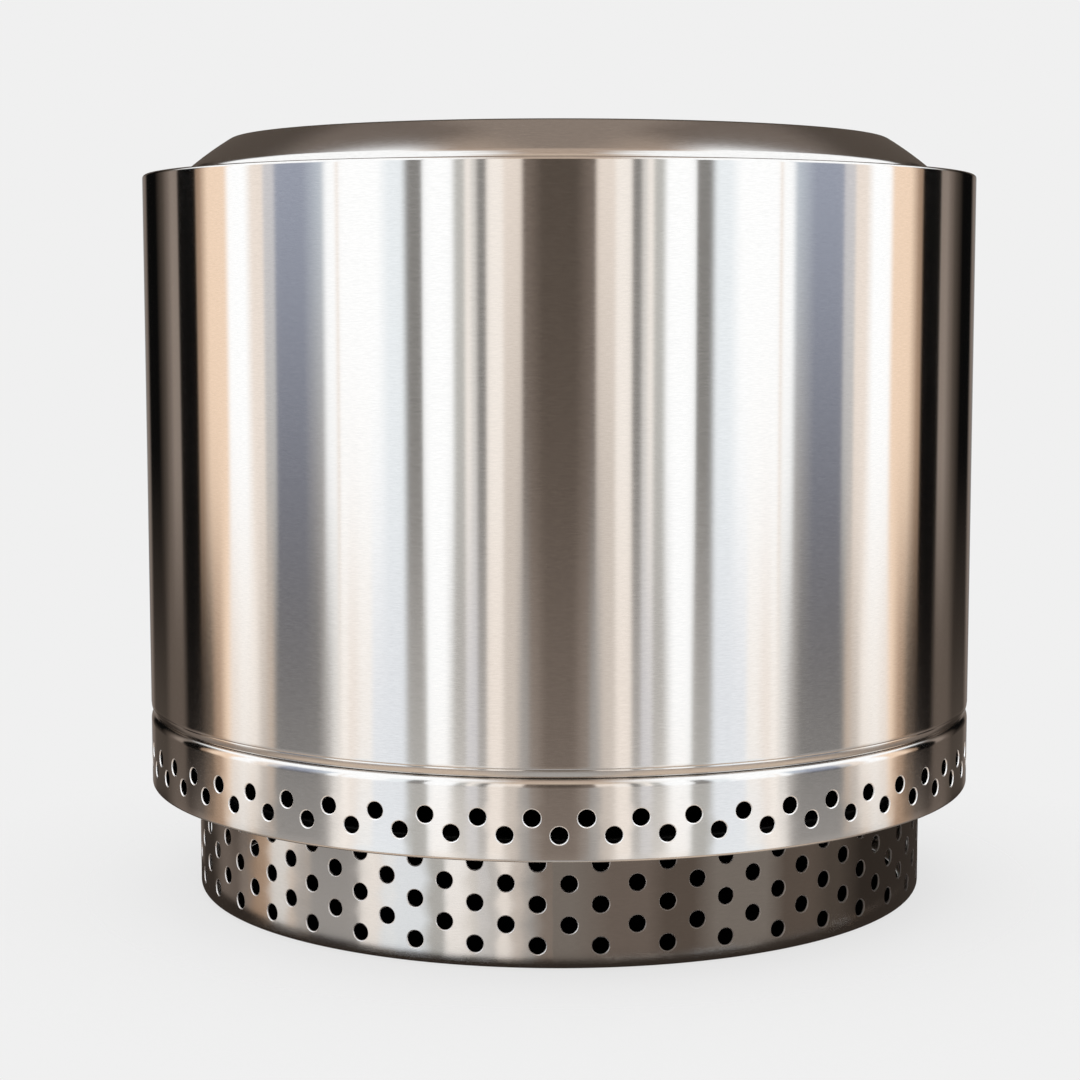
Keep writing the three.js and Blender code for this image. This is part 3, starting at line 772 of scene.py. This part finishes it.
def make_ash_tray_hub():
    column = 2 * math.pi * TRAY_OPENING / HUB_HOLE_COUNT
    row = (HUB_FOOT + HUB_TOP) / 2
    hub = punched_tile("ash_tray_hub", [[row]], column, HUB_HOLE_CELL, HUB_HOLE_RADIUS)
    roll_up(hub, column, HUB_HOLE_COUNT, TRAY_OPENING, turn=math.pi / HUB_HOLE_COUNT)
    low, high = row - HUB_HOLE_CELL / 2, row + HUB_HOLE_CELL / 2
    bend = HUB_TOP - high - HUB_WALL_ABOVE_CELL
    shoulder_centre = (TRAY_OPENING - bend, HUB_TOP - bend)
    shoulder = points_on_arc(shoulder_centre, bend, 0, 90, WIDE_BEND_STEPS)
    continue_section(hub, high, [(TRAY_OPENING, high), *shoulder])
    select_where(hub, lambda co: abs(co.z - HUB_TOP) < WELD)
    close_on_axis()
    flange_top = HUB_FOOT + SHELL_SHEET
    bend = low - flange_top - HUB_WALL_BELOW_CELL
    skirt = points_on_arc((TRAY_OPENING + bend, flange_top + bend), bend, 180, 270, BEND_STEPS)
    continue_section(hub, low, [(TRAY_OPENING, low), *skirt, (HUB_FLANGE, flange_top)])
    finish_sheet(hub, [(TRAY_OPENING, high), shoulder[0]], SHELL_SHEET)
    place(hub, "pan_steel", "ash_pan", pan_steel, "ash_pan_hub")


def make_grate():
    bend_centre = (GRATE_RADIUS - GRATE_BEND, GRATE_TOP - GRATE_BEND)
    points = [(GRATE_RADIUS, GRATE_FOOT), *points_on_arc(bend_centre, GRATE_BEND, 0, 90, BEND_STEPS)]
    plate = turned_sheet("grate_plate", points, PLATE, GRATE_STEPS, closed=True)
    cutter = begin("grate_cutter", bpy.ops.mesh.primitive_cylinder_add, vertices=GRATE_FINGER_STEPS,
                   radius=GRATE_FINGER_RADIUS, depth=GRATE_CUTTER_LENGTH, location=(0, 0, GRATE_TOP))
    ring_pitch = (GRATE_RADIUS - GRATE_EDGE_MARGIN) / GRATE_RINGS
    for ring in range(1, GRATE_RINGS + 1):
        count = ring * GRATE_HOLES_PER_RING_STEP
        for index in range(count):
            angle = 2 * math.pi * (index + 0.5) / count
            x, y = ring * ring_pitch * math.sin(angle), -ring * ring_pitch * math.cos(angle)
            bpy.ops.mesh.primitive_cylinder_add(vertices=SMALL_STEPS, radius=GRATE_HOLE_RADIUS,
                                                depth=GRATE_CUTTER_LENGTH, location=(x, y, GRATE_TOP))
    bpy.ops.object.mode_set(mode="OBJECT")
    bpy.ops.object.select_all(action="DESELECT")
    plate.select_set(True)
    bpy.context.view_layer.objects.active = plate
    apply(plate, "BOOLEAN", object=cutter, operation="DIFFERENCE", solver="EXACT")
    bpy.data.objects.remove(cutter)
    finish_edges(plate, GRATE_CUT_EDGE)
    place(plate, "grate_steel", "grate", grate_steel, "grate")


make_stand()
make_stand_ring()
make_upper_wall()
make_vent_band()
make_base_pan()
make_heat_shield()
make_spacers()
make_rivets()
make_chamber_wall()
make_chamber_floor()
make_brackets()
make_ring_stops()
make_flame_ring()
make_ash_tray()
make_ash_tray_hub()
make_grate()


# Studio: a pale floor that fades into the background, and a round of papers that only the steel mirrors
BACKGROUND = 0.871
PALE_GREY = (BACKGROUND, BACKGROUND, BACKGROUND, 1)
# Painted shade: a matt black disc on the floor under the pit
PAINTED_SHADE_BLACK = (0.008, 0.008, 0.008, 1)
SHADE_DISC_LEVEL = 0.2 * MM
SHADE_DISC_STEPS = 96
FLOOR_LEVEL = -0.5 * MM
FLOOR_RADIUS = 1.5
FLOOR_STEPS = 128
FLOOR_FADE_START = 0.22
FLOOR_FADE_END = 0.42
SHADOW_LIFT = 0.8
FOOT_SHADE_LEVEL = -0.3 * MM

# The photograph's view: level with the upper wall, looking down a little
SENSOR_WIDTH = 36
LENS = 79.32
SIDE_SHIFT = -0.0179
CAMERA_PLACE = (0, -1.4475, 0.3567)
LOOKING_DOWN_DEGREES = 5.96

CARD_RADIUS = 2.2
CARD_STEPS = 720
SHARPEST_EDGE = 0.01

# Light of each paper
PAPERS = {
    "black": (0.004, 0.004, 0.004),
    "soot": (0.045, 0.036, 0.03),
    "umber": (0.11, 0.09, 0.075),
    "bark": (0.155, 0.125, 0.105),
    "taupe": (0.225, 0.185, 0.16),
    "dusk": (0.2, 0.195, 0.2),
    "smoke": (0.28, 0.25, 0.225),
    "slate": (0.32, 0.32, 0.315),
    "brown": (0.38, 0.32, 0.28),
    "steel_blue": (0.26, 0.28, 0.35),
    "dull_blue": (0.51, 0.58, 0.74),
    "sky": (0.8, 0.92, 1.08),
    "pewter": (0.56, 0.55, 0.54),
    "tobacco": (0.55, 0.39, 0.28),
    "beige": (0.66, 0.54, 0.45),
    "sand": (0.84, 0.7, 0.58),
    "grey": (0.74, 0.76, 0.75),
    "fog": (0.74, 0.76, 0.77),
    "stone": (0.92, 0.85, 0.79),
    "lilac": (0.95, 0.97, 1.05),
    "silver": (1.02, 1.02, 1.01),
    "tan": (1.36, 1.08, 0.85),
    "linen": (1.3, 1.2, 1.12),
    "cream": (1.42, 1.38, 1.34),
    "ice": (1.3, 1.42, 1.53),
    "mist": (1.16, 1.24, 1.36),
    "white": (1.57, 1.65, 1.73),
}

# Papers from the front round to the back on both sides: (angle where it starts, softness of that edge, paper)
EYE_LEVEL = [
    (0, 0, "bark"), (5.5, 3, "taupe"), (8.9, 0.7, "stone"), (13.6, 0.8, "cream"), (17.7, 0.7, "slate"),
    (20, 0.6, "silver"), (21.4, 0.8, "cream"), (23, 0.7, "grey"), (25.8, 1.4, "white"),
    (33.7, 0.5, "slate"), (38.2, 1.8, "ice"), (44, 3, "white"), (56.2, 0.4, "linen"), (57, 0.4, "white"),
    (60.6, 1.6, "pewter"), (64.5, 5, "steel_blue"), (76.1, 1, "fog"), (80, 1, "linen"),
    (85.5, 3, "white"), (94, 2, "tan"), (104.3, 4, "tobacco"), (108.1, 0.5, "black"),
    (118.6, 0.8, "brown"), (124.3, 3, "taupe"), (127.6, 3, "umber"), (131, 4, "soot"),
    (134.5, 3, "black"), (149, 4, "taupe"), (157, 6, "slate"), (171, 4, "stone"),
]
LOW_LEVEL = [
    (0, 0, "taupe"), (4.4, 2.5, "brown"), (7.4, 1.2, "pewter"), (10.2, 1.5, "stone"), (13.8, 1, "linen"),
    (17.8, 0.8, "pewter"), (20.1, 0.8, "lilac"), (23, 1, "grey"), (27, 2.5, "white"),
    (33, 0.8, "grey"), (38.5, 1.6, "mist"), (47.8, 1.2, "cream"), (51.5, 2, "linen"), (54.6, 1, "cream"),
    (57, 2, "silver"), (59.4, 2, "pewter"), (62.4, 2.5, "slate"), (78, 2, "sand"), (80.5, 2, "stone"),
    (83.5, 2.5, "cream"), (91.5, 3, "linen"), (95, 2, "tan"), (98, 3.5, "tobacco"), (102.4, 3, "umber"),
    (107.4, 3, "black"), (118, 3, "bark"), (131, 5, "umber"), (150, 5, "taupe"), (158, 5, "slate"),
    (171, 4, "stone"),
]
STAND_LEVEL = [
    (0, 0, "brown"), (6, 4, "pewter"), (10, 3, "stone"), (13.5, 3, "cream"), (18, 2, "silver"),
    (24, 4, "cream"), (33, 2, "grey"), (38.5, 3, "ice"), (54, 3, "cream"),
    (61, 2.5, "pewter"), (85.5, 4, "sand"), (89, 4, "silver"), (97.5, 4, "tobacco"), (107.5, 5, "brown"),
    (114, 5, "taupe"), (129, 5, "umber"), (134, 4, "soot"), (152, 8, "bark"),
]
# Overhead the papers are white at the sides, sand and beige in front, and brown shades behind
LOW_CEILING = [(0, 0, "sand"), (23, 18, "white"), (128, 6, "umber")]
CEILING = [(0, 0, "beige"), (18, 14, "white"), (133, 6, "taupe"), (158, 8, "umber")]
HIGH_CEILING = [(0, 0, "beige"), (30, 24, "white"), (133, 8, "taupe"), (157, 8, "brown")]
ZENITH = [(0, 0, "beige"), (140, 40, "brown")]
# The floor far below
NEAR_FLOOR = [(0, 0, "pewter"), (20, 20, "sand"), (100, 40, "smoke")]
DARK_FLOOR = [(0, 0, "smoke"), (20, 20, "brown"), (120, 30, "umber")]


def changed(papers, changes):
    """The same round of papers, with some of them changed for others."""
    return [(angle, softness, changes.get(paper, paper)) for angle, softness, paper in papers]


HIGH_LEVEL = changed(EYE_LEVEL, {
    "bark": "umber", "stone": "linen", "pewter": "sky", "steel_blue": "dull_blue", "fog": "lilac",
})
ABOVE_LEVEL = [*changed(HIGH_LEVEL, {"brown": "smoke"})[:-3], (149, 4, "umber")]
SHADE_LEVEL = changed(LOW_LEVEL, {"slate": "dusk", "umber": "soot", "grey": "pewter"})

# Rows of the round from the floor up: (radius, height, papers)
CARD_ROWS = [
    (1.2, -2.6, NEAR_FLOOR), (CARD_RADIUS, -1.5, NEAR_FLOOR), (CARD_RADIUS, -1, DARK_FLOOR),
    (CARD_RADIUS, -0.62, STAND_LEVEL), (CARD_RADIUS, -0.42, STAND_LEVEL), (CARD_RADIUS, -0.34, LOW_LEVEL),
    (CARD_RADIUS, -0.14, SHADE_LEVEL), (CARD_RADIUS, 0.1, EYE_LEVEL), (CARD_RADIUS, 0.54, HIGH_LEVEL),
    (CARD_RADIUS, 0.64, ABOVE_LEVEL), (CARD_RADIUS, 0.95, ABOVE_LEVEL), (CARD_RADIUS, 1.25, LOW_CEILING),
    (CARD_RADIUS, 2, LOW_CEILING), (CARD_RADIUS, 2.6, CEILING), (1.75, 3, HIGH_CEILING),
    (1.3, 3, HIGH_CEILING), (0.85, 3, ZENITH), (0.4, 3, ZENITH),
]

# A low dark card that stands close round the right half of the stand, from the front to the back: painted
# shadow of the pit on the floor there, as the steel mirrors it
SHADOW_CARD_RADIUS = 0.24
SHADOW_CARD_TOP = 0.062
SHADOW_CARD = [
    (-1.2, 0, "smoke"), (5, 6, "taupe"), (15, 3, "bark"), (23, 4, "smoke"), (36, 4, "bark"), (46, 4, "umber"),
    (54, 7, "soot"), (140, 50, "bark"), (175, 0, "bark"),
]


def blend(first, second, share):
    return [a + (b - a) * share for a, b in zip(first, second)]


def paper_light(papers, angle):
    """Light at an angle in degrees from the front, with each paper's edge as soft as it is given."""
    light = PAPERS[papers[0][2]]
    for start, softness, paper in papers[1:]:
        share = min(max((angle - start) / max(softness, SHARPEST_EDGE) + 0.5, 0), 1)
        light = blend(light, PAPERS[paper], share)
    return light


def light_material(name):
    """Emission whose colour is the mesh's own light attribute."""
    material = new_material(name)
    material.cycles.emission_sampling = "NONE"
    tree = material.node_tree
    tree.nodes.remove(tree.nodes["Principled BSDF"])
    light = tree.nodes.new("ShaderNodeAttribute")
    light.attribute_name = "light"
    glow = tree.nodes.new("ShaderNodeEmission")
    tree.links.new(light.outputs["Color"], glow.inputs["Color"])
    tree.links.new(glow.outputs["Emission"], tree.nodes["Material Output"].inputs["Surface"])
    return material


def mirrored_only(card, light_at):
    """Lights each point of the card, which the steel mirrors and nothing else sees or is lit by."""
    bpy.ops.object.mode_set(mode="OBJECT")
    light = card.data.color_attributes.new(name="light", type="FLOAT_COLOR", domain="POINT")
    for vertex, value in zip(card.data.vertices, light.data):
        value.color = (*light_at(vertex.co), 1)
    card.data.materials.append(light_material(f"{card.name} light"))
    card.visible_camera = False
    card.visible_diffuse = False
    card.visible_transmission = False
    card.visible_shadow = False


def front_angle(co):
    return math.degrees(math.atan2(co.x, -co.y))


def make_card_round():
    cards = turned("card_round", [row[:2] for row in CARD_ROWS], CARD_STEPS, closed=True)
    select_where(cards, lambda co: co.z < CARD_ROWS[0][1] + WELD)
    close_on_axis()

    def light_at(co):
        radius = math.hypot(co.x, co.y)
        row = min(CARD_ROWS, key=lambda row: math.hypot(row[0] - radius, row[1] - co.z))
        return paper_light(row[2], abs(front_angle(co)))

    mirrored_only(cards, light_at)


# Painted shadow: the steel mirrors this dark card as the shaded floor beside the stand's right side
def make_shadow_card():
    card = turned("shadow_card", [(SHADOW_CARD_RADIUS, 0), (SHADOW_CARD_RADIUS, SHADOW_CARD_TOP)], CARD_STEPS)
    first, last = SHADOW_CARD[0][0], SHADOW_CARD[-1][0]
    select_where(card, lambda co: not first < front_angle(co) < last)
    bpy.ops.mesh.delete(type="VERT")
    mirrored_only(card, lambda co: paper_light(SHADOW_CARD, front_angle(co)))


def make_foot_shade():
    """The shade that the stand throws on the floor round its foot, as the steel mirrors it."""
    inner, outer = STAND_RADIUS - STAND_CORNER, SHADOW_CARD_RADIUS
    shade = turned("foot_shade", [(inner, FOOT_SHADE_LEVEL), (outer, FOOT_SHADE_LEVEL)], CARD_STEPS)
    mirrored_only(shade, lambda co: PAPERS["soot"])


def flat_disc(name, radius, level, steps):
    disc = begin(name, bpy.ops.mesh.primitive_circle_add, vertices=steps, radius=radius, fill_type="NGON")
    bpy.ops.transform.translate(value=(0, 0, level))
    bpy.ops.object.mode_set(mode="OBJECT")
    return disc


def make_shade_disc():
    """A matt black disc inside the stand's foot: painted shade on the floor under the pit, so that the
    stand's holes show dark.
    """
    disc = flat_disc("shade_disc", STAND_RADIUS - STAND_FOOT_WIDTH, SHADE_DISC_LEVEL, SHADE_DISC_STEPS)
    material = new_material("Painted shade matt black")
    shader = material.node_tree.nodes["Principled BSDF"]
    shader.inputs["Base Color"].default_value = PAINTED_SHADE_BLACK
    shader.inputs["Roughness"].default_value = 1
    shader.inputs["Specular IOR Level"].default_value = 0
    disc.data.materials.append(material)


def seen_or_mirrored(tree):
    """1 for what the camera sees straight, in a mirror or through glass, and 0 for what lights a surface."""
    paths = tree.nodes.new("ShaderNodeLightPath")
    value = paths.outputs["Is Camera Ray"]
    for output in ("Is Glossy Ray", "Is Transmission Ray"):
        value = add_up(tree, value, paths.outputs[output], clamp=True)
    return value


def make_floor():
    """A pale floor whose shadows are lifted for the camera, and which fades out round the pit."""
    floor = flat_disc("floor", FLOOR_RADIUS, FLOOR_LEVEL, FLOOR_STEPS)
    material = new_material("Pale floor")
    tree = material.node_tree
    tree.nodes.remove(tree.nodes["Principled BSDF"])
    coordinates = tree.nodes.new("ShaderNodeTexCoord")
    distance = tree.nodes.new("ShaderNodeVectorMath")
    distance.operation = "LENGTH"
    matte = tree.nodes.new("ShaderNodeBsdfDiffuse")
    matte.inputs["Color"].default_value = PALE_GREY
    plain = tree.nodes.new("ShaderNodeEmission")
    plain.inputs["Color"].default_value = PALE_GREY
    lighter = tree.nodes.new("ShaderNodeMixShader")
    tree.links.new(remap(tree, seen_or_mirrored(tree), 0, SHADOW_LIFT, 0, 1), lighter.inputs["Fac"])
    tree.links.new(matte.outputs["BSDF"], lighter.inputs[1])
    tree.links.new(plain.outputs["Emission"], lighter.inputs[2])
    clear = tree.nodes.new("ShaderNodeBsdfTransparent")
    fade = tree.nodes.new("ShaderNodeMixShader")
    tree.links.new(coordinates.outputs["Object"], distance.inputs[0])
    share = remap(tree, distance.outputs["Value"], 0, 1, FLOOR_FADE_START, FLOOR_FADE_END)
    tree.links.new(share, fade.inputs["Fac"])
    tree.links.new(lighter.outputs["Shader"], fade.inputs[1])
    tree.links.new(clear.outputs["BSDF"], fade.inputs[2])
    tree.links.new(fade.outputs["Shader"], tree.nodes["Material Output"].inputs["Surface"])
    floor.data.materials.append(material)
    floor.visible_glossy = False


def make_world():
    """Plain white light, and the pale background for the camera and for what the steel mirrors of it."""
    world = bpy.data.worlds.new("Studio")
    bpy.context.scene.world = world
    world.use_nodes = True
    tree = world.node_tree
    backdrop = tree.nodes["Background"]
    tree.links.new(remap(tree, seen_or_mirrored(tree), 1, BACKGROUND, 0, 1), backdrop.inputs["Strength"])
    backdrop.inputs["Color"].default_value = (1, 1, 1, 1)


def make_camera():
    data = bpy.data.cameras.new("Camera")
    camera = bpy.data.objects.new("Camera", data)
    bpy.context.collection.objects.link(camera)
    data.sensor_width = SENSOR_WIDTH
    data.lens = LENS
    data.shift_x = SIDE_SHIFT
    camera.location = CAMERA_PLACE
    camera.rotation_euler = (math.radians(90 - LOOKING_DOWN_DEGREES), 0, 0)
    bpy.context.scene.camera = camera


make_card_round()
make_shadow_card()
make_foot_shade()
make_shade_disc()
make_floor()
make_world()
make_camera()
bpy.context.scene.view_settings.view_transform = "Standard"
